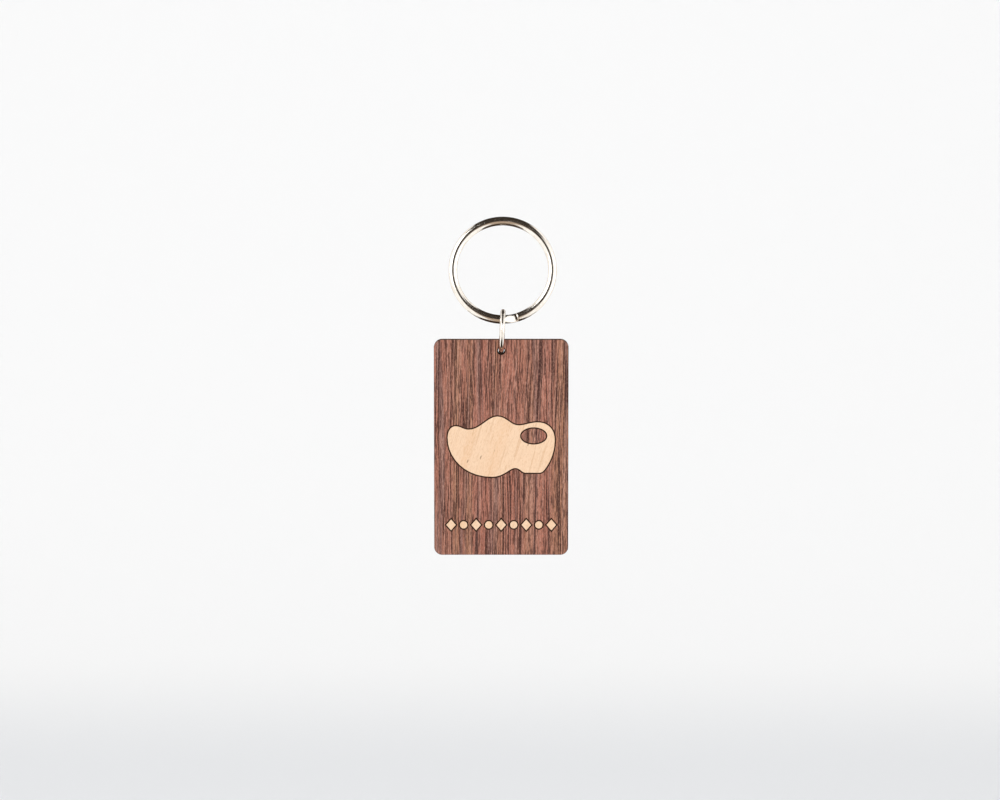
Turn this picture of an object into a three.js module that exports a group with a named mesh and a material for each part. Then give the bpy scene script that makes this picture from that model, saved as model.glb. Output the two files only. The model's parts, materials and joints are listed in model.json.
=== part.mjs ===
// A souvenir keychain: a two-turn split ring, a bent-wire jump ring and a wooden tag.
// The tag is a core board faced with walnut veneer on both sides. A maple clog and a band of
// small maple diamonds and dots are let into the front veneer, flush with it.
// Units are millimetres. +Z is up, +X is to the right and -Y is the front. The origin is the
// point inside the top of the split ring where a hook carries the keychain.
import * as THREE from "three";

const degrees = Math.PI / 180;

// Split ring: one flat wire wound twice, the front turn stepping over to the back turn at the jog.
const ringOuterDiameter = 25;
const ringWireWidth = 2; // across the ring's face
const ringWireThickness = 0.72; // along the ring's axis, each turn
const ringWireRounding = 0.32; // radius of the wire's four edges
const turnGap = 0.06; // between the two turns
const ringLean = 12.5 * degrees; // the ring's top leans back
const frontEndAngle = 17 * degrees; // from the ring's lowest point towards +X
const jogAngle = 14 * degrees; // arc in which the wire steps from the front turn to the back one
const endClearAngle = 2 * degrees; // free arc between a cut end and the jog
const ringSteps = 144;

// Jump ring: round wire bent to a circle, its two ends meeting at the back.
const linkOuterDiameter = 10.2;
const linkWireDiameter = 1.2;
const linkLean = 2.7 * degrees; // its top leans towards +X
const linkSeamAngle = 75 * degrees; // from its lowest point towards the back
const linkSeamGap = 0.12;
const linkSteps = 48;
const ringPlay = 0.04; // least gap between the jump ring and the split ring as one swings on the other

// Tag.
const tagWidth = 31;
const tagHeight = 50;
const tagCornerRadius = 1.85;
const coreThickness = 1.2;
const veneerThickness = 0.6;
const glueLine = 0.02; // film of glue between two layers
const holeDrop = 2.6; // hole's centre below the top edge
const holePlay = 0.06; // gap between the jump ring and the wall of the hole
const veneerHoleStep = 0.18; // front veneer's hole is wider than the others all round by this

// Inlays in the front veneer.
const inlayGap = 0.16; // width of the cut all round an inlay
const clogLength = 25;
const clogDrop = 24.8; // clog's middle below the top edge
const bandDrop = 43; // band's centre line below the top edge
const bandLength = 25.8;
const diamondCount = 5; // a dot stands between each two diamonds
const diamondWidth = 2.6;
const diamondHeight = 3;
const dotDiameter = 2;

// Sizes that follow from those above.
const clogUnit = clogLength / 25; // the clog is drawn 25 units long
const ringMeanRadius = (ringOuterDiameter - ringWireWidth) / 2;
const ringInnerRadius = ringMeanRadius - ringWireWidth / 2;
const turnOffset = (ringWireThickness + turnGap) / 2;
const ringHalfDepth = turnOffset + ringWireThickness / 2;
const ringWireReach =
  Math.hypot(ringWireWidth / 2 - ringWireRounding, ringHalfDepth - ringWireRounding) + ringWireRounding;

const linkRadius = (linkOuterDiameter - linkWireDiameter) / 2;
const linkInnerRadius = linkRadius - linkWireDiameter / 2;
const ringAboveLink = linkInnerRadius - ringWireReach - ringPlay;

const tagThickness = coreThickness + 2 * (veneerThickness + glueLine);
const wireRiseInHole = linkRadius - Math.sqrt(linkRadius ** 2 - (tagThickness / 2) ** 2);
const holeRadius = (linkWireDiameter + wireRiseInHole) / 2 + holePlay;
const veneerHoleRadius = holeRadius + veneerHoleStep;

// Finishes.
const nickel = { color: 0xcfc9c2, roughness: 0.18, metalness: 1 };
const walnut = { color: 0x986a5a, roughness: 0.6, metalness: 0 };
const maple = { color: 0xf4d0ae, roughness: 0.55, metalness: 0 };
const birch = { color: 0xc9a67c, roughness: 0.75, metalness: 0 };

function namedMesh(name, geometry, finish) {
  const mesh = new THREE.Mesh(geometry, new THREE.MeshStandardMaterial(finish));
  mesh.name = name;
  return mesh;
}

// A rectangle about the origin with rounded corners, anticlockwise.
function roundedRectangle(width, height, radius) {
  const x = width / 2 - radius;
  const y = height / 2 - radius;
  const shape = new THREE.Shape();
  shape.absarc(x, y, radius, 0, Math.PI / 2);
  shape.absarc(-x, y, radius, Math.PI / 2, Math.PI);
  shape.absarc(-x, -y, radius, Math.PI, 1.5 * Math.PI);
  shape.absarc(x, -y, radius, 1.5 * Math.PI, 2 * Math.PI);
  return shape;
}

// A wire's path round the Y axis. Its section keeps one side turned away from that axis.
class RoundWirePath extends THREE.Curve {
  constructor(radius, startAngle, sweep, sideways = () => 0) {
    super();
    Object.assign(this, { radius, startAngle, sweep, sideways });
    this.arcLengthDivisions = 720;
  }

  // An angle is measured from the lowest point towards +X. The path runs the other way.
  getPoint(t, target = new THREE.Vector3()) {
    const angle = this.startAngle - t * this.sweep;
    return target.set(
      this.radius * Math.sin(angle),
      this.sideways(t * this.sweep),
      -this.radius * Math.cos(angle),
    );
  }

  computeFrenetFrames(segments) {
    const frames = { tangents: [], normals: [], binormals: [] };
    for (let i = 0; i <= segments; i++) {
      const point = this.getPointAt(i / segments);
      const tangent = this.getTangentAt(i / segments);
      const outward = new THREE.Vector3(point.x, 0, point.z).normalize();
      frames.tangents.push(tangent);
      frames.normals.push(outward);
      frames.binormals.push(new THREE.Vector3().crossVectors(tangent, outward).normalize());
    }
    return frames;
  }
}

function sweptWire(section, path, steps, curveSegments) {
  return new THREE.ExtrudeGeometry(section, { steps, curveSegments, extrudePath: path });
}

// The sideways place of the split ring's wire, a given angle along it from the front end.
function turnPlace(along) {
  const jogEnd = 2 * Math.PI - endClearAngle;
  const share = THREE.MathUtils.smoothstep(along, jogEnd - jogAngle, jogEnd);
  return THREE.MathUtils.lerp(-turnOffset, turnOffset, share);
}

function splitRing() {
  const section = roundedRectangle(ringWireWidth, ringWireThickness, ringWireRounding);
  const sweep = 4 * Math.PI - jogAngle - 2 * endClearAngle;
  const path = new RoundWirePath(ringMeanRadius, frontEndAngle, sweep, turnPlace);
  return namedMesh("split_ring", sweptWire(section, path, ringSteps, 2), nickel);
}

// The jump ring's circle is bent round the Y axis and then turned to face +X.
function jumpRing() {
  const section = new THREE.Shape().absarc(0, 0, linkWireDiameter / 2, 0, 2 * Math.PI);
  const gapAngle = linkSeamGap / linkRadius;
  const path = new RoundWirePath(
    linkRadius,
    linkSeamAngle - gapAngle / 2,
    2 * Math.PI - gapAngle,
  );
  const mesh = namedMesh("jump_ring", sweptWire(section, path, linkSteps, 6), nickel);
  mesh.geometry.rotateZ(Math.PI / 2);
  return mesh;
}

// A closed outline's points, moved outwards by a distance. The points run anticlockwise.
function grownOutline(points, distance) {
  return points.map((point, i) => {
    const before = points[(i + points.length - 1) % points.length];
    const after = points[(i + 1) % points.length];
    const intoPoint = point.clone().sub(before).normalize();
    const outOfPoint = after.clone().sub(point).normalize();
    const normalIn = new THREE.Vector2(intoPoint.y, -intoPoint.x);
    const normalOut = new THREE.Vector2(outOfPoint.y, -outOfPoint.x);
    const corner = normalIn.clone().add(normalOut).normalize();
    return point.clone().addScaledVector(corner, distance / corner.dot(normalIn));
  });
}

// A curve's points in order, without the last one where it repeats the first.
function outlinePoints(curve, divisions) {
  const points = curve.getPoints(divisions);
  if (points[0].distanceTo(points.at(-1)) < 1e-6) points.pop();
  return THREE.ShapeUtils.isClockWise(points) ? points.reverse() : points;
}

function movedPoints(points, x, y) {
  return points.map((point) => new THREE.Vector2(point.x + x, point.y + y));
}

// The clog from the side, toe to the left, about its own middle. Each line is one curved
// stretch: its two handles and the point where it ends.
function clogOutline() {
  const stretches = [
    [-9.4, 4.9, -8.7, 4.1, -7.5, 4.1], // back of the toe
    [-4.9, 4.1, -3.2, 7.15, -0.9, 7.15], // instep
    [1.3, 7.15, 2.2, 5.1, 4, 5.1], // down to the mouth
    [5.5, 5.1, 6.7, 5.8, 8.4, 5.8], // rim
    [10.9, 5.8, 12.5, 4.1, 12.5, 1.6], // back of the heel
    [12.5, -1.2, 11.5, -3.6, 10.3, -5.2],
    [9.8, -5.9, 9.4, -6.2, 8.7, -6.2], // heel
    [7.7, -6.2, 6.7, -6.2, 5.7, -6.2],
    [4.6, -6.2, 4.3, -5.1, 3.2, -5.1], // arch
    [2, -5.1, 0.7, -7.15, -2.2, -7.15], // sole
    [-8.5, -7.15, -12.5, -2.7, -12.5, 2],
    [-12.5, 3.8, -11.7, 4.9, -10.5, 4.9], // toe
  ].map((stretch) => stretch.map((value) => value * clogUnit));
  const path = new THREE.Path().moveTo(...stretches.at(-1).slice(4));
  stretches.forEach((stretch) => path.bezierCurveTo(...stretch));
  return outlinePoints(path, 10);
}

// The clog's mouth, an oval of walnut inside the maple.
function clogMouthOutline() {
  const mouth = new THREE.EllipseCurve(7.5, 2.5, 3, 1.85);
  return outlinePoints(mouth, 36).map((point) => point.multiplyScalar(clogUnit));
}

// The band's pieces from left to right, each with its name and its outline on the tag.
function bandPieces() {
  const diamond = [
    new THREE.Vector2(diamondWidth / 2, 0),
    new THREE.Vector2(0, diamondHeight / 2),
    new THREE.Vector2(-diamondWidth / 2, 0),
    new THREE.Vector2(0, -diamondHeight / 2),
  ];
  const dot = outlinePoints(new THREE.EllipseCurve(0, 0, dotDiameter / 2, dotDiameter / 2), 20);
  const count = 2 * diamondCount - 1;
  const pitch = (bandLength - diamondWidth) / (count - 1);
  return Array.from({ length: count }, (_, i) => {
    const isDiamond = i % 2 === 0;
    const x = (i - (count - 1) / 2) * pitch;
    return {
      name: `band_${isDiamond ? "diamond" : "dot"}_${Math.floor(i / 2) + 1}`,
      outline: movedPoints(isDiamond ? diamond : dot, x, fromTopEdge(bandDrop)),
    };
  });
}

// The height above the tag's middle of a place that is a given drop below its top edge.
function fromTopEdge(drop) {
  return tagHeight / 2 - drop;
}

function tagShape(radius) {
  const shape = roundedRectangle(tagWidth, tagHeight, tagCornerRadius);
  const hole = new THREE.Path().absarc(0, fromTopEdge(holeDrop), radius, 0, 2 * Math.PI, true);
  shape.holes.push(hole);
  return shape;
}

// A flat piece of the tag, upright, its back face at the given place along +Y.
function flatPiece(name, shape, thickness, backFace, finish) {
  const geometry = new THREE.ExtrudeGeometry(shape, {
    depth: thickness,
    bevelEnabled: false,
    curveSegments: 12,
  });
  geometry.rotateX(Math.PI / 2);
  geometry.translate(0, backFace, 0);
  return namedMesh(name, geometry, finish);
}

// The tag about its own middle, its face towards -Y.
function tag() {
  const group = new THREE.Group();
  const coreBack = coreThickness / 2;
  const veneerBack = -coreBack - glueLine;

  const clog = movedPoints(clogOutline(), 0, fromTopEdge(clogDrop));
  const mouth = movedPoints(clogMouthOutline(), 0, fromTopEdge(clogDrop));
  const band = bandPieces();

  const plainShape = tagShape(holeRadius);
  const frontShape = tagShape(veneerHoleRadius);
  for (const outline of [clog, ...band.map((piece) => piece.outline)])
    frontShape.holes.push(new THREE.Path(grownOutline(outline, inlayGap / 2)));

  const clogShape = new THREE.Shape(grownOutline(clog, -inlayGap / 2));
  clogShape.holes.push(new THREE.Path(grownOutline(mouth, inlayGap / 2)));
  const mouthShape = new THREE.Shape(grownOutline(mouth, -inlayGap / 2));

  group.add(
    flatPiece("core_board", plainShape, coreThickness, coreBack, birch),
    flatPiece("back_veneer", plainShape, veneerThickness, coreBack + glueLine + veneerThickness, walnut),
    flatPiece("front_veneer", frontShape, veneerThickness, veneerBack, walnut),
    flatPiece("clog_inlay", clogShape, veneerThickness, veneerBack, maple),
    flatPiece("clog_mouth_inlay", mouthShape, veneerThickness, veneerBack, walnut),
  );
  for (const piece of band) {
    const shape = new THREE.Shape(grownOutline(piece.outline, -inlayGap / 2));
    group.add(flatPiece(piece.name, shape, veneerThickness, veneerBack, maple));
  }
  return group;
}

// Everything hangs from the split ring's lowest stretch: the jump ring round it, and the tag on that.
const keychain = new THREE.Group();
keychain.name = "keychain";

const ringGroup = new THREE.Group();
ringGroup.rotation.x = -ringLean;
ringGroup.position.set(0, -ringInnerRadius * Math.sin(ringLean), -ringInnerRadius * Math.cos(ringLean));
ringGroup.add(splitRing());

const ringBottom = new THREE.Vector3(0, 0, -ringMeanRadius)
  .applyEuler(ringGroup.rotation)
  .add(ringGroup.position);

const linkGroup = new THREE.Group();
linkGroup.rotation.y = linkLean;
const downLink = new THREE.Vector3(0, 0, -1).applyEuler(linkGroup.rotation);
linkGroup.position.copy(ringBottom).addScaledVector(downLink, ringAboveLink);
linkGroup.add(jumpRing());

const tagGroup = tag();
const hole = linkGroup.position.clone().addScaledVector(downLink, linkRadius);
hole.z += wireRiseInHole / 2; // the wire's ends in the hole are higher than its middle
tagGroup.position.copy(hole).add(new THREE.Vector3(0, 0, -fromTopEdge(holeDrop)));

keychain.add(ringGroup, linkGroup, tagGroup);

export default keychain;
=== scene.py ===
import json
import math
import bmesh
import bpy
from mathutils import Matrix, Vector


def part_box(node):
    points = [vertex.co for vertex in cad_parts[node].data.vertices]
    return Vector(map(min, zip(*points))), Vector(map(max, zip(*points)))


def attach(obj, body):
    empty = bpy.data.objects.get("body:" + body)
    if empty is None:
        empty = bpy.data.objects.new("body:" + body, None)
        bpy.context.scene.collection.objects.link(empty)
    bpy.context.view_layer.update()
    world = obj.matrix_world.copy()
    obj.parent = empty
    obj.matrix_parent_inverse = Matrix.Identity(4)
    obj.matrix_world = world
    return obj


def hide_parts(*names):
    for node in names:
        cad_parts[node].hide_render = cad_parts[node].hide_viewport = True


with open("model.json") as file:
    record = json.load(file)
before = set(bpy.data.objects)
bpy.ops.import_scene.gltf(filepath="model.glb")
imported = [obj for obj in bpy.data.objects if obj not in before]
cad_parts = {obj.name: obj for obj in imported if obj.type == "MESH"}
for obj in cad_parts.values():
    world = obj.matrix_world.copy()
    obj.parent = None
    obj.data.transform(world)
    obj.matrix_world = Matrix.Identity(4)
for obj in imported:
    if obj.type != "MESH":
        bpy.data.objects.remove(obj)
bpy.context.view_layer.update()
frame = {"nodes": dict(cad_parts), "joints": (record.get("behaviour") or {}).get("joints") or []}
mm = 0.001
joints = {joint["name"]: joint for joint in frame["joints"]}
ringFoot = Vector(joints["jump_ring_swing"]["pos_m"])   # middle of the split ring's wire, at its lowest
tagHole = Vector(joints["tag_swing"]["pos_m"])          # middle of the hole in the tag
print("frame loaded")


def deselectAll():
    if bpy.context.mode != "OBJECT":
        bpy.ops.object.mode_set(mode="OBJECT")
    bpy.ops.object.select_all(action="DESELECT")


def startEdit(piece):
    deselectAll()
    piece.select_set(True)
    bpy.context.view_layer.objects.active = piece
    bpy.ops.object.mode_set(mode="EDIT")
    bpy.ops.mesh.select_mode(type="VERT")
    bpy.ops.mesh.select_all(action="DESELECT")


def endEdit():
    bpy.ops.object.mode_set(mode="OBJECT")


def pick(piece, kind, test):
    # selects the edit mesh's verts, edges or faces that pass the test, and nothing else
    bpy.ops.mesh.select_all(action="DESELECT")
    mesh = bmesh.from_edit_mesh(piece.data)
    found = [part for part in getattr(mesh, kind) if test(part)]
    for part in found:
        part.select_set(True)
    mesh.select_flush_mode()
    bmesh.update_edit_mesh(piece.data)
    return len(found)


def srgb(hexText):
    values = [int(hexText[i:i + 2], 16) / 255 for i in (0, 2, 4)]
    linear = [v / 12.92 if v <= 0.04045 else ((v + 0.055) / 1.055) ** 2.4 for v in values]
    return (*linear, 1)


def put(tree, kind, sockets=None, **settings):
    # adds a node; a socket's value is either a constant or another node's output
    made = tree.nodes.new(kind)
    for name, value in settings.items():
        setattr(made, name, value)
    for name, value in (sockets or {}).items():
        if isinstance(value, bpy.types.NodeSocket):
            tree.links.new(value, made.inputs[name])
        else:
            made.inputs[name].default_value = value
    return made


def sums(tree, operation, first, second=0.0):
    return put(tree, "ShaderNodeMath", {0: first, 1: second}, operation=operation).outputs[0]


def spread(tree, value, low, high, toLow=0.0, toHigh=1.0):
    # a soft step from toLow to toHigh, between the two places low and high
    sockets = {"Value": value, "From Min": low, "From Max": high, "To Min": toLow, "To Max": toHigh}
    return put(tree, "ShaderNodeMapRange", sockets, interpolation_type="SMOOTHSTEP").outputs[0]


def scaled(tree, value, factor):
    return sums(tree, "MULTIPLY", value, factor)


def mixed(tree, share, first, second):
    return put(tree, "ShaderNodeMix", {0: share, 6: first, 7: second}, data_type="RGBA").outputs[2]


def stretched(tree, vector, scale):
    return put(tree, "ShaderNodeVectorMath", {0: vector, 1: scale}, operation="MULTIPLY").outputs[0]


def noise(tree, vector, scale, detail=2.0, roughness=0.5):
    sockets = {"Vector": vector, "Scale": scale, "Detail": detail, "Roughness": roughness}
    return put(tree, "ShaderNodeTexNoise", sockets).outputs["Fac"]


def newGroup(name, inputs, outputs):
    group = bpy.data.node_groups.new(name, "ShaderNodeTree")
    for title, kind, value in inputs:
        socket = group.interface.new_socket(name=title, in_out="INPUT", socket_type=kind)
        if value is not None:
            socket.default_value = value
    for title, kind in outputs:
        group.interface.new_socket(name=title, in_out="OUTPUT", socket_type=kind)
    return group, put(group, "NodeGroupInput").outputs, put(group, "NodeGroupOutput")


def useGroup(tree, group, sockets):
    return put(tree, "ShaderNodeGroup", node_tree=group, sockets=sockets).outputs


def newMaterial(name):
    material = bpy.data.materials.new(name)
    material.use_nodes = True
    tree = material.node_tree
    tree.nodes.clear()
    shader = put(tree, "ShaderNodeBsdfPrincipled")
    output = put(tree, "ShaderNodeOutputMaterial")
    tree.links.new(shader.outputs[0], output.inputs[0])
    return material, tree, shader


grainShape = {
    "sway": (0.045, 0.045, 0.02),      # how slowly the grain wanders, per millimetre
    "lineSoft": 0.06,
    "poreStretch": (1, 1, 0.07),
    "poreScale": 4.6,
    "poreSoft": 0.06,
    "fibreStretch": (1, 1, 0.12),
    "fibreScale": 7.0,
    "fibreHeight": 0.35,
    "mottleStretch": (1, 1, 0.28),
    "mottleScale": 5.2,
}


# grain that runs along Z, with its place in millimetres
def buildWoodGrain(shape):
    group, given, out = newGroup(
        "woodGrain",
        [("Place", "NodeSocketVector", None), ("Shift", "NodeSocketFloat", 0.0),
         ("Waver", "NodeSocketFloat", 1.0), ("Stretch", "NodeSocketFloat", 0.02),
         ("Band Scale", "NodeSocketFloat", 0.15), ("Streak Scale", "NodeSocketFloat", 1.2),
         ("Line Scale", "NodeSocketFloat", 3.5), ("Line Cut", "NodeSocketFloat", 0.6),
         ("Pore Cut", "NodeSocketFloat", 0.62)],
        [("Bands", "NodeSocketFloat"), ("Streaks", "NodeSocketFloat"), ("Lines", "NodeSocketFloat"),
         ("Pores", "NodeSocketFloat"), ("Fibres", "NodeSocketFloat"), ("Mottle", "NodeSocketFloat"),
         ("Height", "NodeSocketFloat")])
    shift = put(group, "ShaderNodeCombineXYZ", {"X": given["Shift"], "Z": given["Shift"]}).outputs[0]
    moved = put(group, "ShaderNodeVectorMath", {0: given["Place"], 1: shift}, operation="ADD").outputs[0]
    sway = noise(group, stretched(group, moved, shape["sway"]), 1.0, 1.0)
    sway = sums(group, "MULTIPLY", sums(group, "SUBTRACT", sway, 0.5), given["Waver"])
    sway = put(group, "ShaderNodeCombineXYZ", {"X": sway}).outputs[0]
    swayed = put(group, "ShaderNodeVectorMath", {0: moved, 1: sway}, operation="ADD").outputs[0]
    alongScale = put(group, "ShaderNodeCombineXYZ", {"X": 1.0, "Y": 1.0, "Z": given["Stretch"]}).outputs[0]
    along = stretched(group, swayed, alongScale)
    bands = noise(group, along, given["Band Scale"], 2.0)
    streaks = noise(group, along, given["Streak Scale"], 3.0, 0.6)
    lineNoise = noise(group, along, given["Line Scale"], 1.0, 0.4)
    lineEdge = sums(group, "ADD", given["Line Cut"], shape["lineSoft"])
    lines = spread(group, lineNoise, given["Line Cut"], lineEdge)
    poreNoise = noise(group, stretched(group, swayed, shape["poreStretch"]), shape["poreScale"], 1.0, 0.4)
    poreEdge = sums(group, "ADD", given["Pore Cut"], shape["poreSoft"])
    pores = spread(group, poreNoise, given["Pore Cut"], poreEdge)
    fibres = noise(group, stretched(group, swayed, shape["fibreStretch"]), shape["fibreScale"], 3.0, 0.6)
    fibres = spread(group, fibres, 0.3, 0.7)
    mottle = noise(group, stretched(group, swayed, shape["mottleStretch"]), shape["mottleScale"], 2.0, 0.6)
    mottle = spread(group, mottle, 0.3, 0.7)
    raised = scaled(group, fibres, shape["fibreHeight"])
    height = sums(group, "SUBTRACT", raised, sums(group, "MAXIMUM", lines, pores))
    for title, value in (("Bands", bands), ("Streaks", streaks), ("Lines", lines), ("Pores", pores),
                         ("Fibres", fibres), ("Mottle", mottle), ("Height", height)):
        group.links.new(value, out.inputs[title])
    return group


scorchShape = {
    "patchScale": 2.2,          # uneven browning, per millimetre
    "patchShare": 0.35,
    "brownFrom": 0.15,
    "brownTo": 0.6,
    "charFrom": 0.8,
    "charTo": 1.05,
}


# browning beside a cut, darkest on the cut wall itself
def buildScorch(shape):
    group, given, out = newGroup(
        "scorch",
        [("Color", "NodeSocketColor", None), ("Place", "NodeSocketVector", None),
         ("Heat", "NodeSocketFloat", 0.0), ("Brown", "NodeSocketColor", None),
         ("Char", "NodeSocketColor", None)],
        [("Color", "NodeSocketColor"), ("Mask", "NodeSocketFloat")])
    patches = noise(group, given["Place"], shape["patchScale"], 3.0, 0.6)
    patches = scaled(group, sums(group, "SUBTRACT", patches, 0.5), shape["patchShare"])
    heat = sums(group, "ADD", given["Heat"], patches)
    browned = spread(group, heat, shape["brownFrom"], shape["brownTo"])
    charred = spread(group, heat, shape["charFrom"], shape["charTo"])
    color = mixed(group, browned, given["Color"], given["Brown"])
    color = mixed(group, charred, color, given["Char"])
    group.links.new(color, out.inputs["Color"])
    group.links.new(browned, out.inputs["Mask"])
    return group


wearShape = {
    "lineStretch": (0.06, 1, 1),
    "smudgeScale": 0.45,
    "smudgeCut": (0.35, 0.7),
    "nickTurn": (0.3, 0.5, 0.9),
    "nickStretch": (0.5, 6, 6),
    "nickScale": 2.0,
    "nickCut": (0.68, 0.76),
}


# drawn lines, hairline scratches and finger marks on bright wire; X is along the wire
def buildWireWear(shape):
    group, given, out = newGroup(
        "wireWear",
        [("Wire Place", "NodeSocketVector", None), ("Place", "NodeSocketVector", None),
         ("Line Scale", "NodeSocketFloat", 9.0)],
        [("Lines", "NodeSocketFloat"), ("Smudges", "NodeSocketFloat"), ("Nicks", "NodeSocketFloat")])
    along = stretched(group, given["Wire Place"], shape["lineStretch"])
    lines = noise(group, along, given["Line Scale"], 3.0, 0.6)
    smudges = spread(group, noise(group, given["Place"], shape["smudgeScale"], 3.0, 0.6), *shape["smudgeCut"])
    slanted = put(group, "ShaderNodeMapping", {"Vector": given["Wire Place"], "Rotation": shape["nickTurn"],
                                               "Scale": shape["nickStretch"]}).outputs[0]
    nicks = spread(group, noise(group, slanted, shape["nickScale"], 1.0), *shape["nickCut"])
    for title, value in (("Lines", lines), ("Smudges", smudges), ("Nicks", nicks)):
        group.links.new(value, out.inputs[title])
    return group


woodGrain = buildWoodGrain(grainShape)
scorch = buildScorch(scorchShape)
wireWear = buildWireWear(wearShape)


def placeInMillimetres(tree):
    place = put(tree, "ShaderNodeTexCoord").outputs["Object"]
    return stretched(tree, place, (1 / mm, 1 / mm, 1 / mm))


def heatFromAttribute(tree):
    return put(tree, "ShaderNodeAttribute", attribute_name="browning").outputs["Fac"]


def relief(tree, shader, height, strength, depth):
    bump = put(tree, "ShaderNodeBump", {"Height": height, "Strength": strength, "Distance": depth})
    tree.links.new(bump.outputs[0], shader.inputs["Normal"])


def scorched(tree, shader, look, place, color, rough):
    # colours the wood, browned beside its cuts, and makes it rougher there
    burnt = useGroup(tree, scorch, {"Color": color, "Place": place, "Heat": heatFromAttribute(tree),
                                    "Brown": srgb(look["brown"]), "Char": srgb(look["char"])})
    rough = sums(tree, "ADD", rough, scaled(tree, burnt["Mask"], look["burntRoughness"]))
    tree.links.new(burnt["Color"], shader.inputs["Base Color"])
    tree.links.new(rough, shader.inputs["Roughness"])
    shader.inputs["Specular IOR Level"].default_value = look["gloss"]


walnutLook = {
    "base": "aa7059",
    "red": "b4705b",
    "tan": "b07f5c",
    "purple": "6d504c",
    "dark": "6b4337",
    "line": "381b15",
    "pale": "c39583",
    "brown": "4b2b1b",
    "char": "1f110a",
    "tanShare": 0.75,
    "purpleShare": 0.9,
    "paleShare": 0.55,
    "darkShare": 0.55,
    "paleMottle": 0.4,
    "darkMottle": 0.6,
    "fibreShare": 0.36,
    "poreShare": 0.7,
    "roughness": 0.52,
    "streakRoughness": 0.12,
    "lineRoughness": 0.2,
    "burntRoughness": 0.35,
    "gloss": 0.32,
    "lineStrength": 0.5,
    "lineDepth": 0.06 * mm,
    "fineShift": 70.0,
    "wideGrain": {"Waver": 4.5, "Stretch": 0.016, "Band Scale": 0.14, "Streak Scale": 0.5,
                  "Line Scale": 2.5, "Line Cut": 0.6, "Pore Cut": 0.61},
    "fineGrain": {"Waver": 4.5, "Stretch": 0.011, "Band Scale": 0.2, "Streak Scale": 2.9,
                  "Line Scale": 3.4, "Line Cut": 0.575, "Pore Cut": 0.6},
}


def walnutMaterial(name, shift, look):
    material, tree, shader = newMaterial(name)
    place = placeInMillimetres(tree)
    wide = useGroup(tree, woodGrain, {"Place": place, "Shift": shift, **look["wideGrain"]})
    fine = useGroup(tree, woodGrain,
                    {"Place": place, "Shift": shift + look["fineShift"], **look["fineGrain"]})

    def tinted(color, mask, share, tint):
        return mixed(tree, scaled(tree, mask, share), color, srgb(look[tint]))

    color = mixed(tree, spread(tree, wide["Bands"], 0.38, 0.62), srgb(look["base"]), srgb(look["red"]))
    color = tinted(color, spread(tree, fine["Bands"], 0.48, 0.66), look["tanShare"], "tan")
    color = tinted(color, spread(tree, wide["Streaks"], 0.52, 0.64), look["purpleShare"], "purple")
    color = tinted(color, spread(tree, fine["Streaks"], 0.52, 0.36), look["paleShare"], "pale")
    color = tinted(color, spread(tree, fine["Streaks"], 0.5, 0.68), look["darkShare"], "dark")
    color = tinted(color, spread(tree, wide["Mottle"], 0.5, 0.0), look["paleMottle"], "pale")
    color = tinted(color, spread(tree, fine["Mottle"], 0.4, 1.0), look["darkMottle"], "dark")
    color = tinted(color, fine["Fibres"], look["fibreShare"], "dark")
    lines = sums(tree, "MAXIMUM", wide["Lines"], fine["Lines"])
    lines = sums(tree, "MULTIPLY", lines, spread(tree, wide["Mottle"], 0.0, 0.6, 0.6, 0.95))
    pores = scaled(tree, sums(tree, "MAXIMUM", wide["Pores"], fine["Pores"]), look["poreShare"])
    lines = sums(tree, "MAXIMUM", lines, pores)
    color = mixed(tree, lines, color, srgb(look["line"]))
    rough = sums(tree, "ADD", scaled(tree, fine["Streaks"], look["streakRoughness"]), look["roughness"])
    rough = sums(tree, "ADD", rough, scaled(tree, lines, look["lineRoughness"]))
    scorched(tree, shader, look, place, color, rough)
    height = sums(tree, "SUBTRACT", fine["Height"], lines)
    relief(tree, shader, height, look["lineStrength"], look["lineDepth"])
    return material


mapleLook = {
    "base": "e3c1a1",
    "warm": "dcb189",
    "pale": "ecd4ba",
    "streak": "c3976f",
    "fleck": "7d5840",
    "brown": "5a3319",
    "char": "1c0e06",
    "warmShare": 0.6,
    "streakShare": 0.4,
    "fibreShare": 0.4,
    "mottleShare": 0.3,
    "lineShare": 0.35,
    "fleckShare": 0.7,
    "fleckStretch": (1, 1, 0.3),
    "fleckScale": 1.3,
    "fleckCut": (0.74, 0.79),
    "grainTilt": math.radians(17),
    "roughness": 0.5,
    "streakRoughness": 0.15,
    "burntRoughness": 0.35,
    "gloss": 0.32,
    "grainStrength": 0.25,
    "grainDepth": 0.03 * mm,
    "grain": {"Waver": 2.0, "Stretch": 0.05, "Band Scale": 0.3, "Streak Scale": 2.2,
              "Line Scale": 1.5, "Line Cut": 0.64, "Pore Cut": 0.66},
}


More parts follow.
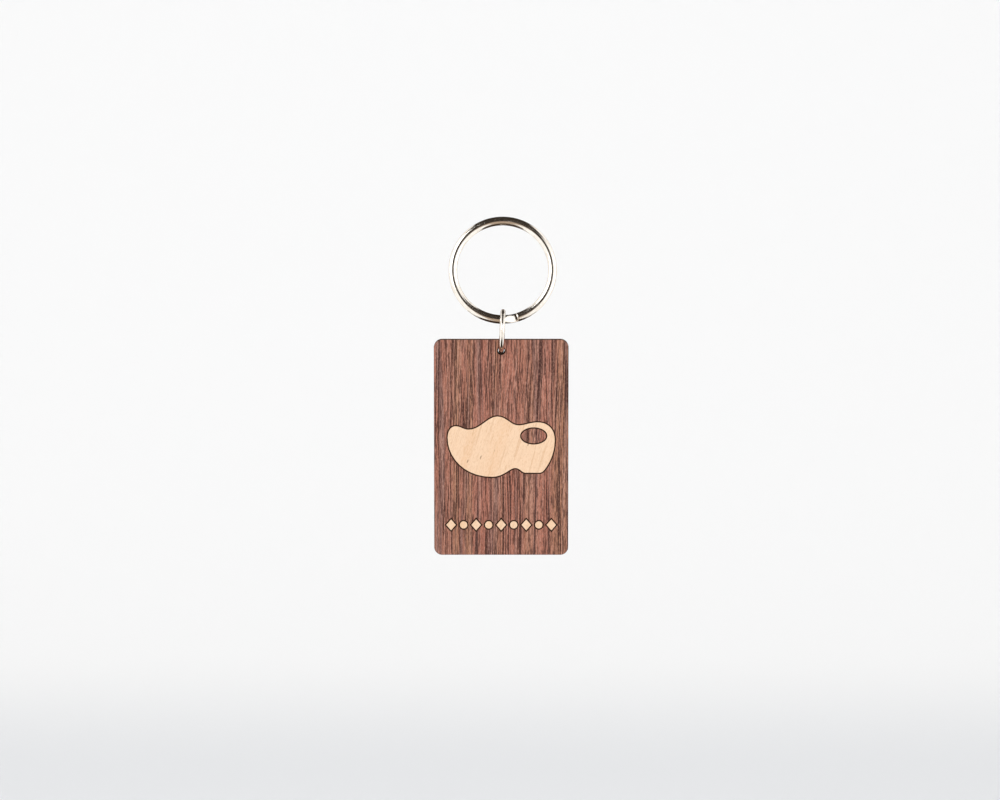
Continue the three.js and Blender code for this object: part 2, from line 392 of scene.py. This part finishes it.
def mapleMaterial(name, shift, look):
    material, tree, shader = newMaterial(name)
    place = placeInMillimetres(tree)
    turned = put(tree, "ShaderNodeMapping",
                 {"Vector": place, "Rotation": (0, -look["grainTilt"], 0)}).outputs[0]
    grain = useGroup(tree, woodGrain, {"Place": turned, "Shift": shift, **look["grain"]})

    def tinted(color, mask, share, tint):
        return mixed(tree, scaled(tree, mask, share), color, srgb(look[tint]))

    color = tinted(srgb(look["base"]), spread(tree, grain["Bands"], 0.42, 0.68), look["warmShare"], "warm")
    color = tinted(color, spread(tree, grain["Streaks"], 0.5, 0.8), look["streakShare"], "streak")
    color = tinted(color, grain["Fibres"], look["fibreShare"], "pale")
    color = tinted(color, spread(tree, grain["Mottle"], 0.5, 1.0), look["mottleShare"], "streak")
    color = tinted(color, sums(tree, "MAXIMUM", grain["Lines"], grain["Pores"]), look["lineShare"], "streak")
    flecks = noise(tree, stretched(tree, turned, look["fleckStretch"]), look["fleckScale"], 1.0)
    color = tinted(color, spread(tree, flecks, *look["fleckCut"]), look["fleckShare"], "fleck")
    rough = sums(tree, "ADD", scaled(tree, grain["Streaks"], look["streakRoughness"]), look["roughness"])
    scorched(tree, shader, look, place, color, rough)
    relief(tree, shader, grain["Height"], look["grainStrength"], look["grainDepth"])
    return material


coreLook = {
    "ply": "6d4a30",
    "crossPly": "4b2f1d",
    "glue": "23140c",
    "char": "1d110b",
    "plies": 3,
    "wobble": 0.2,               # how far the glue lines wander, as a share of a ply
    "fibreStretch": (0.5, 5.0, 0.5),
    "fibreScale": 1.6,
    "gloss": 0.25,
    "fibreStrength": 0.5,
    "fibreDepth": 0.08 * mm,
}


def coreMaterial(name, look):
    # thin plies lie across the tag's thickness, and the cutter has browned every edge of them
    material, tree, shader = newMaterial(name)
    place = placeInMillimetres(tree)
    low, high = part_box("core_board")
    ply = (high.y - low.y) / look["plies"] / mm
    depth = put(tree, "ShaderNodeSeparateXYZ", {"Vector": place}).outputs["Y"]
    depth = sums(tree, "DIVIDE", sums(tree, "SUBTRACT", depth, low.y / mm), ply)
    wobble = noise(tree, stretched(tree, place, (0.6, 0.2, 0.6)), 1.0, 2.0)
    depth = sums(tree, "ADD", depth, scaled(tree, sums(tree, "SUBTRACT", wobble, 0.5), look["wobble"]))
    within = sums(tree, "FRACT", depth)
    pastFirst = sums(tree, "GREATER_THAN", depth, 1.0)
    middle = sums(tree, "MULTIPLY", pastFirst, sums(tree, "LESS_THAN", depth, 2.0))
    fibres = noise(tree, stretched(tree, place, look["fibreStretch"]), look["fibreScale"], 4.0, 0.65)
    color = mixed(tree, middle, srgb(look["ply"]), srgb(look["crossPly"]))
    color = mixed(tree, spread(tree, fibres, 0.42, 0.7), color, srgb(look["char"]))
    nearGlue = sums(tree, "ABSOLUTE", sums(tree, "SUBTRACT", within, 0.5))
    color = mixed(tree, spread(tree, nearGlue, 0.42, 0.49), color, srgb(look["glue"]))
    tree.links.new(color, shader.inputs["Base Color"])
    tree.links.new(spread(tree, fibres, 0.2, 0.8, 0.6, 0.85), shader.inputs["Roughness"])
    relief(tree, shader, fibres, look["fibreStrength"], look["fibreDepth"])
    shader.inputs["Specular IOR Level"].default_value = look["gloss"]
    return material


nickelLook = {
    "plate": "f4efe8",
    "worn": "dccfbf",
    "wornShare": 0.5,
    "roughness": 0.05,
    "lineRoughness": 0.1,
    "smudgeRoughness": 0.06,
    "nickRoughness": 0.15,
    "lineHeight": 0.4,
    "wearStrength": 0.12,
    "wearDepth": 0.02 * mm,
}


def nickelMaterial(name, lineScale, look):
    material, tree, shader = newMaterial(name)
    place = placeInMillimetres(tree)
    wirePlace = put(tree, "ShaderNodeAttribute", attribute_name="wirePlace").outputs["Vector"]
    wear = useGroup(tree, wireWear, {"Wire Place": wirePlace, "Place": place, "Line Scale": lineScale})
    tint = scaled(tree, wear["Smudges"], look["wornShare"])
    color = mixed(tree, tint, srgb(look["plate"]), srgb(look["worn"]))
    tree.links.new(color, shader.inputs["Base Color"])
    rough = sums(tree, "ADD", scaled(tree, wear["Lines"], look["lineRoughness"]), look["roughness"])
    rough = sums(tree, "ADD", rough, scaled(tree, wear["Smudges"], look["smudgeRoughness"]))
    rough = sums(tree, "ADD", rough, scaled(tree, wear["Nicks"], look["nickRoughness"]))
    tree.links.new(rough, shader.inputs["Roughness"])
    height = sums(tree, "SUBTRACT", scaled(tree, wear["Lines"], look["lineHeight"]), wear["Nicks"])
    relief(tree, shader, height, look["wearStrength"], look["wearDepth"])
    shader.inputs["Metallic"].default_value = 1.0
    return material


walnutFront = walnutMaterial("walnutFront", 0.0, walnutLook)
walnutBack = walnutMaterial("walnutBack", 140.0, walnutLook)
mapleClog = mapleMaterial("mapleClog", 0.0, mapleLook)
mapleBand = mapleMaterial("mapleBand", 60.0, mapleLook)
coreEdge = coreMaterial("coreEdge", coreLook)
ringNickel = nickelMaterial("ringNickel", 9.0, nickelLook)
linkNickel = nickelMaterial("linkNickel", 12.0, nickelLook)
print("materials ready")


cutEdges = {
    "outerRound": 0.07 * mm,     # sanded rim of the tag
    "outerReach": 0.6 * mm,      # edges nearer to the outline than this belong to the rim
    "pocketRound": 0.05 * mm,    # lip of each cut for an inlay
    "glueRound": 0.03 * mm,
    "scorchWidth": 0.15 * mm,    # browned strip beside a cut
    "lipHeat": 0.5,              # how far the strip is browned, at a cut for an inlay
    "sandedHeat": 0.15,          # and at the sanded rim
    "weld": 0.002 * mm,
    "outerSteps": 3,
    "lipSteps": 2,
    "smoothAngle": math.radians(40),
}


def facing(face, direction):
    return face.normal.y * direction > 0.9


def rimEdge(edge, direction):
    faces = edge.link_faces
    if len(faces) != 2:
        return False
    return facing(faces[0], direction) != facing(faces[1], direction) \
        and min(abs(faces[0].normal.y), abs(faces[1].normal.y)) < 0.5


def insetStrip(piece, side):
    # leaves a narrow strip beside every cut and fills the rest of the face again
    bpy.ops.mesh.select_mode(type="FACE")
    pick(piece, "faces", lambda face: facing(face, side))
    bpy.ops.mesh.inset(thickness=cutEdges["scorchWidth"], depth=0, use_boundary=True, use_even_offset=True)
    bpy.ops.mesh.delete(type="FACE")
    bpy.ops.mesh.select_mode(type="EDGE")
    pick(piece, "edges", lambda edge: edge.is_boundary)
    bpy.ops.mesh.fill(use_beauty=True)


def cutBoard(node, name, material, shownSides, hasRim=False):
    # starts from the board's own outline, then browns and rounds the edges that the cutter left
    piece = bpy.data.objects.new(name, frame["nodes"][node].data.copy())
    bpy.context.scene.collection.objects.link(piece)
    piece.data.materials.clear()
    piece.data.materials.append(material)
    low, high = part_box(node)

    def onRim(place):
        room = min(place.x - low.x, high.x - place.x, place.z - low.z, high.z - place.z)
        return hasRim and room < cutEdges["outerReach"]

    def rimMiddle(edge):
        return onRim((edge.verts[0].co + edge.verts[1].co) / 2)

    def browning(vert):
        # none on the open face, some where the face ends, and all of it on the cut itself
        flat = [abs(face.normal.y) > 0.999 for face in vert.link_faces]
        if all(flat):
            return 0.0
        if any(flat):
            return cutEdges["sandedHeat"] if onRim(vert.co) else cutEdges["lipHeat"]
        return 1.0

    startEdit(piece)
    bpy.ops.mesh.select_all(action="SELECT")
    bpy.ops.mesh.remove_doubles(threshold=cutEdges["weld"])
    bpy.ops.mesh.select_mode(type="FACE")
    pick(piece, "faces", lambda face: abs(face.normal.y) < 0.5)
    bpy.ops.mesh.tris_convert_to_quads(face_threshold=0.02, shape_threshold=math.pi)
    for side in shownSides:
        insetStrip(piece, side)
    bpy.ops.mesh.select_all(action="SELECT")
    bpy.ops.mesh.normals_make_consistent(inside=False)
    bpy.ops.mesh.select_mode(type="EDGE")
    for side in (-1, 1):
        shown = side in shownSides
        if shown and pick(piece, "edges", lambda edge: rimEdge(edge, side) and rimMiddle(edge)):
            bpy.ops.mesh.bevel(offset=cutEdges["outerRound"], segments=cutEdges["outerSteps"], affect="EDGES")
        width = cutEdges["pocketRound"] if shown else cutEdges["glueRound"]
        if pick(piece, "edges", lambda edge: rimEdge(edge, side) and not (shown and rimMiddle(edge))):
            bpy.ops.mesh.bevel(offset=width, segments=cutEdges["lipSteps"], affect="EDGES")
    mesh = bmesh.from_edit_mesh(piece.data)
    heat = mesh.verts.layers.float.new("browning")
    for vert in mesh.verts:
        vert[heat] = browning(vert)
    bmesh.update_edit_mesh(piece.data)
    endEdit()
    bpy.ops.object.shade_smooth_by_angle(angle=cutEdges["smoothAngle"])
    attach(piece, "tag")
    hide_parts(node)


cutBoard("front_veneer", "frontVeneer", walnutFront, [-1], hasRim=True)
cutBoard("back_veneer", "backVeneer", walnutBack, [1], hasRim=True)
cutBoard("core_board", "coreBoard", coreEdge, [])
cutBoard("clog_inlay", "clogInlay", mapleClog, [-1])
cutBoard("clog_mouth_inlay", "clogMouthInlay", walnutFront, [-1])
bandNodes = sorted(name for name in frame["nodes"] if name.startswith("band_"))
for name in bandNodes:
    cutBoard(name, name.replace("_", ""), mapleBand, [-1])
print("tag made from", 5 + len(bandNodes), "boards and inlays")


wireShared = {
    "endSteps": 3,                     # in the rounding of each cut end
    "turnShift": 200,                  # keeps the marks on the two turns apart, in millimetres
    "smoothAngle": math.radians(35),
}


def spinSection(steps, angle):
    bpy.ops.mesh.spin(steps=steps, angle=angle, center=(0, 0, 0), axis=(0, 1, 0), use_auto_merge=False)


def closeEnds(piece, roundness):
    # caps both open ends of a wire and rounds the burr off them
    pick(piece, "edges", lambda edge: edge.is_boundary)
    bpy.ops.mesh.edge_face_add()
    mesh = bmesh.from_edit_mesh(piece.data)
    capSides = max(len(face.verts) for face in mesh.faces)
    pick(piece, "faces", lambda face: len(face.verts) == capSides)
    bpy.ops.mesh.region_to_loop()
    bpy.ops.mesh.bevel(offset=roundness, segments=wireShared["endSteps"], affect="EDGES")


def storeWirePlace(piece, meanRadius, turnAt):
    # along the wire, out from the ring's middle and along its axis, in millimetres
    spot = piece.data.attributes.new("wirePlace", "FLOAT_VECTOR", "POINT")
    for i, vert in enumerate(piece.data.vertices):
        around = math.atan2(vert.co.x, -vert.co.z) * meanRadius
        out = math.hypot(vert.co.x, vert.co.z) - meanRadius
        shift = wireShared["turnShift"] * turnAt(vert.co.y)
        spot.data[i].vector = (around / mm + shift, out / mm, vert.co.y / mm)


def settle(piece, matrix, body, node, material):
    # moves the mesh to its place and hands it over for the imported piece
    piece.data.transform(matrix)
    piece.data.materials.clear()
    piece.data.materials.append(material)
    deselectAll()
    piece.select_set(True)
    bpy.context.view_layer.objects.active = piece
    bpy.ops.object.shade_smooth_by_angle(angle=wireShared["smoothAngle"])
    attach(piece, body)
    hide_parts(node)


ringLow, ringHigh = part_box("split_ring")
ringOuter = (ringHigh.x - ringLow.x) / 2
ringLean = math.atan2(-ringFoot.y, -ringFoot.z)
# the origin is a wire's width inside the ring's top, and the foot half a width inside its bottom
wireWidth = (2 * ringOuter - ringFoot.length) / 1.5
splitRingSize = {
    "meanRadius": ringOuter - wireWidth / 2,
    "wireWidth": wireWidth,
    "crown": 0.58 * mm,            # domed outer face of each turn
    "flat": 0.13 * mm,             # face against the other turn
    "domePower": 2.3,              # 2 is a round dome, and more is a flatter one
    "halfGap": 0.03 * mm,
    "frontEnd": math.radians(17),  # from the lowest point, to the right
    "jog": math.radians(14),
    "endClear": math.radians(2),
    "jogSteps": 14,
    "turnSteps": 172,
    "sectionPoints": 32,
    "endRound": 0.09 * mm,
}


def wireSection(name, size, wire, meanRadius, startAngle):
    # a circle at the ring's lowest place, turned about the ring's axis to where the wire starts
    bpy.ops.mesh.primitive_circle_add(vertices=size["sectionPoints"], radius=wire / 2, location=(0, 0, 0))
    piece = bpy.context.active_object
    piece.name = name
    startEdit(piece)
    bpy.ops.mesh.select_all(action="SELECT")
    mesh = bmesh.from_edit_mesh(piece.data)
    for vert in mesh.verts:
        vert.co = Vector((0, vert.co.y, -meanRadius - vert.co.x))
        vert.co.rotate(Matrix.Rotation(-startAngle, 3, "Y"))
    bmesh.update_edit_mesh(piece.data)
    return piece


def closeWire(piece, size, meanRadius, turnAt):
    bpy.ops.mesh.select_mode(type="EDGE")
    closeEnds(piece, size["endRound"])
    bpy.ops.mesh.select_all(action="SELECT")
    bpy.ops.mesh.normals_make_consistent(inside=False)
    endEdit()
    storeWirePlace(piece, meanRadius, turnAt)


def splitRing(size):
    meanRadius = size["meanRadius"]
    turnMiddle = size["halfGap"] + size["flat"]
    piece = wireSection("splitRing", size, size["wireWidth"], meanRadius, size["frontEnd"])
    frontHalf = {vert.index for vert in bmesh.from_edit_mesh(piece.data).verts if vert.co.y < 0}

    def middleAt(share):
        return -turnMiddle + 2 * turnMiddle * share

    def shapeSection(share):
        # share is 0 on the front turn and 1 on the back one: the dome moves over to the other side
        mesh = bmesh.from_edit_mesh(piece.data)
        section = [vert for vert in mesh.verts if vert.select]
        front = size["crown"] * (1 - share) + size["flat"] * share
        back = size["flat"] * (1 - share) + size["crown"] * share
        for vert in section:
            out = abs(math.hypot(vert.co.x, vert.co.z) - meanRadius) / (size["wireWidth"] / 2)
            lift = math.sqrt(1 - out ** size["domePower"]) if out < 0.9995 else 0.0
            isFront = vert.index % size["sectionPoints"] in frontHalf
            vert.co.y = middleAt(share) + (-lift * front if isFront else lift * back)
        bmesh.update_edit_mesh(piece.data)

    shapeSection(0.0)
    turn = 2 * math.pi - size["jog"] - size["endClear"]
    spinSection(size["turnSteps"], turn)
    for i in range(size["jogSteps"]):
        spinSection(1, size["jog"] / size["jogSteps"])
        t = (i + 1) / size["jogSteps"]
        shapeSection(t * t * (3 - 2 * t))
    spinSection(size["turnSteps"], turn)
    closeWire(piece, size, meanRadius, lambda y: 1 if y > 0 else 0)
    ringMiddle = ringFoot * (1 - meanRadius / ringFoot.length)
    settle(piece, Matrix.Translation(ringMiddle) @ Matrix.Rotation(-ringLean, 4, "X"),
           "split_ring", "split_ring", ringNickel)


linkLow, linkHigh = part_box("jump_ring")
jumpRingSize = {
    "wire": 1.2 * mm,
    "outerDiameter": linkHigh.y - linkLow.y,
    "seam": math.radians(75),      # from the lowest point, towards the back
    "seamGap": 0.1 * mm,
    "steps": 128,
    "sectionPoints": 28,
    "endRound": 0.07 * mm,
}


def jumpRing(size):
    meanRadius = (size["outerDiameter"] - size["wire"]) / 2
    gap = size["seamGap"] / meanRadius
    piece = wireSection("jumpRing", size, size["wire"], meanRadius, size["seam"] + gap / 2)
    spinSection(size["steps"], gap - 2 * math.pi)
    closeWire(piece, size, meanRadius, lambda y: 0)
    linkDown = tagHole - ringFoot
    lean = math.atan2(-linkDown.x, -linkDown.z)
    middle = Vector(((linkLow.x + linkHigh.x) / 2, tagHole.y, (linkLow.z + linkHigh.z) / 2))
    turned = Matrix.Rotation(lean, 4, "Y") @ Matrix.Rotation(math.pi / 2, 4, "Z")
    settle(piece, Matrix.Translation(middle) @ turned,
           "jump_ring", "jump_ring", linkNickel)


splitRing(splitRingSize)
jumpRing(jumpRingSize)
print("rings made")


studio = {
    "floorDrop": 0.12,            # below the tag
    "floorWidth": 6.0,
    "floorFront": -4.0,
    "floorBack": 0.9,
    "wallHeight": 1.6,
    "sweepRadius": 0.45,
    "sweepSteps": 32,
    "paper": (0.93, 0.93, 0.93, 1),
    # painted shade: the grey painted on the paper low behind the object; the paper's fibre flecks use it too
    "shade": (0.775, 0.785, 0.8, 1),
    "shadeFar": (0.5, 0.28),      # painted shade: the paper is painted greyer between these places behind the object
    "shadeNear": (0.25, 0.03),    # and pale again between these
    "fibreScale": 900.0,
    "fibreShare": 0.03,
}


def paperSweep(size):
    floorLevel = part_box("front_veneer")[0].z - size["floorDrop"]
    deselectAll()
    bpy.ops.mesh.primitive_plane_add(size=1, location=(0, 0, 0))
    sweep = bpy.context.active_object
    sweep.name = "paperSweep"
    startEdit(sweep)
    mesh = bmesh.from_edit_mesh(sweep.data)
    for vert in mesh.verts:
        y = size["floorBack"] if vert.co.y > 0 else size["floorFront"]
        vert.co = Vector((vert.co.x * size["floorWidth"], y, floorLevel))
    bmesh.update_edit_mesh(sweep.data)
    bpy.ops.mesh.select_mode(type="EDGE")
    pick(sweep, "edges", lambda edge: all(v.co.y > size["floorBack"] - 0.01 for v in edge.verts))
    bpy.ops.mesh.extrude_region_move(TRANSFORM_OT_translate={"value": (0, 0, size["wallHeight"])})
    pick(sweep, "edges", lambda edge: all(abs(v.co.y - size["floorBack"]) < 0.01
                                          and v.co.z < floorLevel + 0.01 for v in edge.verts))
    bpy.ops.mesh.bevel(offset=size["sweepRadius"], segments=size["sweepSteps"], affect="EDGES")
    endEdit()
    bpy.ops.object.shade_smooth()
    material, tree, shader = newMaterial("paper")
    place = put(tree, "ShaderNodeTexCoord").outputs["Object"]
    fibres = noise(tree, place, size["fibreScale"], 3.0)
    behind = put(tree, "ShaderNodeSeparateXYZ", {"Vector": place}).outputs["Y"]
    # painted shade: a grey band painted on the paper behind the object, pale again nearer to it
    pale = sums(tree, "MAXIMUM", spread(tree, behind, *reversed(size["shadeFar"])),
                spread(tree, behind, *size["shadeNear"]))
    color = mixed(tree, pale, size["shade"], size["paper"])
    color = mixed(tree, scaled(tree, fibres, size["fibreShare"]), color, size["shade"])
    tree.links.new(color, shader.inputs["Base Color"])
    shader.inputs["Roughness"].default_value = 0.9
    sweep.data.materials.append(material)
    sweep.visible_glossy = False


softBoxes = {
    "keyLight": {"place": (-0.5, -0.7, 0.45), "watts": 2.5},
    "fillLight": {"place": (0.6, -0.6, 0.2), "watts": 1.4},
}
softBoxAim = Vector((0, 0, -0.04))
softBoxWidth = 0.5


def softBox(name, place, watts):
    light = bpy.data.lights.new(name, "AREA")
    light.shape = "RECTANGLE"
    light.size = softBoxWidth
    light.size_y = softBoxWidth
    light.energy = watts
    lamp = bpy.data.objects.new(name, light)
    bpy.context.scene.collection.objects.link(lamp)
    lamp.location = place
    lamp.rotation_euler = (softBoxAim - Vector(place)).to_track_quat("-Z", "Y").to_euler()


mirrored = {
    "white": (1.0, 0.99, 0.97, 1),
    "grey": (0.6, 0.58, 0.56, 1),
    "dark": (0.03, 0.022, 0.016, 1),
    "tan": (0.42, 0.32, 0.24, 1),
    "gapAhead": 0.16,             # half widths of the dark gap, as directions
    "gapOverhead": 0.45,
    "gapUnderfoot": 0.5,
    "overhead": (0.5, 0.66),      # the gap widens between these heights
    "underfoot": (-0.3, -0.75),
    "shadowed": (0.15, 0.3),      # and turns from tan to dark between these
    "greyBehind": (0.3, 0.85),    # the walls turn grey between these places behind the object
    "softness": 0.02,
    "strength": 1.15,
    "ambient": (0.95, 0.95, 0.95, 1),
    "ambientStrength": 0.97,
    "seenStrength": 1.0,
}


def studioWorld(size):
    # the bright wire mirrors white walls at both sides and a dark gap between them, wide overhead
    world = bpy.data.worlds.new("studioWorld")
    world.use_nodes = True
    bpy.context.scene.world = world
    tree = world.node_tree
    tree.nodes.clear()
    way = put(tree, "ShaderNodeTexCoord").outputs["Generated"]
    parts = put(tree, "ShaderNodeSeparateXYZ", {"Vector": way}).outputs
    overhead = spread(tree, parts["Z"], *size["overhead"])
    underfoot = spread(tree, parts["Z"], *size["underfoot"])
    gap = scaled(tree, overhead, size["gapOverhead"] - size["gapAhead"])
    gap = sums(tree, "ADD", gap, scaled(tree, underfoot, size["gapUnderfoot"] - size["gapAhead"]))
    gap = sums(tree, "ADD", gap, size["gapAhead"])
    beside = sums(tree, "SUBTRACT", sums(tree, "ABSOLUTE", parts["X"]), gap)
    wall = spread(tree, beside, -size["softness"], size["softness"])
    walls = mixed(tree, spread(tree, parts["Y"], *size["greyBehind"]), size["white"], size["grey"])
    shadowed = sums(tree, "MAXIMUM", underfoot, spread(tree, parts["Z"], *size["shadowed"]))
    between = mixed(tree, shadowed, size["tan"], size["dark"])
    color = mixed(tree, wall, between, walls)
    mirror = put(tree, "ShaderNodeBackground", {"Color": color, "Strength": size["strength"]}).outputs[0]
    rays = put(tree, "ShaderNodeLightPath").outputs
    level = spread(tree, rays["Is Camera Ray"], 0.0, 1.0, size["ambientStrength"], size["seenStrength"])
    plain = put(tree, "ShaderNodeBackground", {"Color": size["ambient"], "Strength": level}).outputs[0]
    both = put(tree, "ShaderNodeMixShader", {0: rays["Is Glossy Ray"], 1: plain, 2: mirror}).outputs[0]
    put(tree, "ShaderNodeOutputWorld", {"Surface": both})


cameraView = {
    "lens": 100,
    "sensor": 36,
    "sightWidth": 0.2304,       # what the frame's width spans at the tag's face
    "aside": -0.62 * mm,
    "belowTagTop": 13.97 * mm,
    "raised": math.radians(5.5),
}


def placeCamera(view):
    tagLow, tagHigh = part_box("front_veneer")
    data = bpy.data.cameras.new("camera")
    data.lens = view["lens"]
    data.sensor_width = view["sensor"]
    data.clip_end = 20
    camera = bpy.data.objects.new("camera", data)
    bpy.context.scene.collection.objects.link(camera)
    reach = view["sightWidth"] * view["lens"] / view["sensor"]
    aim = Vector((view["aside"], tagLow.y, tagHigh.z - view["belowTagTop"]))
    camera.location = aim + reach * Vector((0, -math.cos(view["raised"]), math.sin(view["raised"])))
    camera.rotation_euler = (math.pi / 2 - view["raised"], 0, 0)
    bpy.context.scene.camera = camera


paperSweep(studio)
for name, lamp in softBoxes.items():
    softBox(name, lamp["place"], lamp["watts"])
studioWorld(mirrored)
placeCamera(cameraView)
bpy.context.scene.view_settings.view_transform = "Standard"
print("studio ready")

deselectAll()
